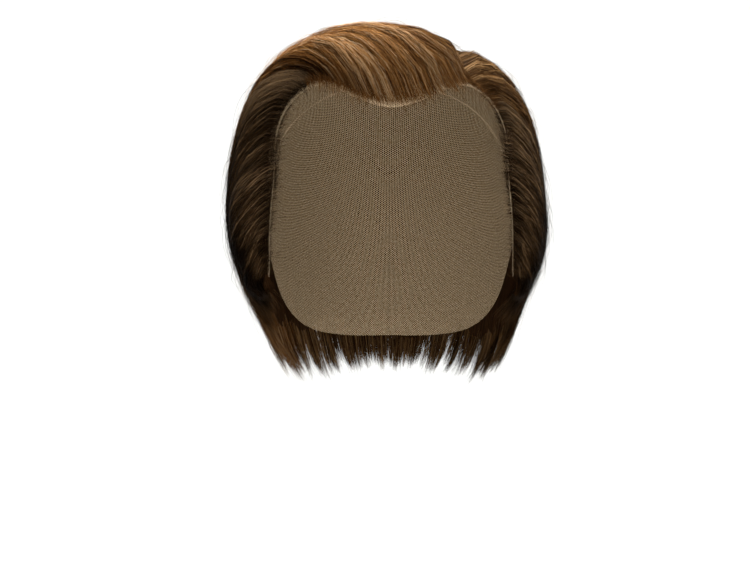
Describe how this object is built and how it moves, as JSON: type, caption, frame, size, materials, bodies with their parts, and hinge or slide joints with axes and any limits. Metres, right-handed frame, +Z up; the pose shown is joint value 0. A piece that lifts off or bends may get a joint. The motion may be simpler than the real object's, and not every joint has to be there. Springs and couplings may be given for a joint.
{
  "type": "theatrical wig",
  "caption": "Short brown man's wig, side-parted, lifted off the forehead and combed back over the ears, knotted on a thin lace cap open at the face and below.",
  "frame": {"origin": "the inside of the crown, where the top of a head carries the wig", "axes": "+Z up through the crown, -Y out of the face opening, +X to the wearer's left"},
  "size_m": [0.2014, 0.2146, 0.2277],
  "materials": {
    "lace": "fine sheer net",
    "hair": "combed hair with a soft sheen"
  },
  "bodies": {
    "root": {"lace_foundation": "lace", "top_hair": "hair", "left_parting_hair": "hair", "left_side_hair": "hair", "left_back_hair": "hair", "right_side_hair": "hair", "right_back_hair": "hair"}
  },
  "joints": []
}
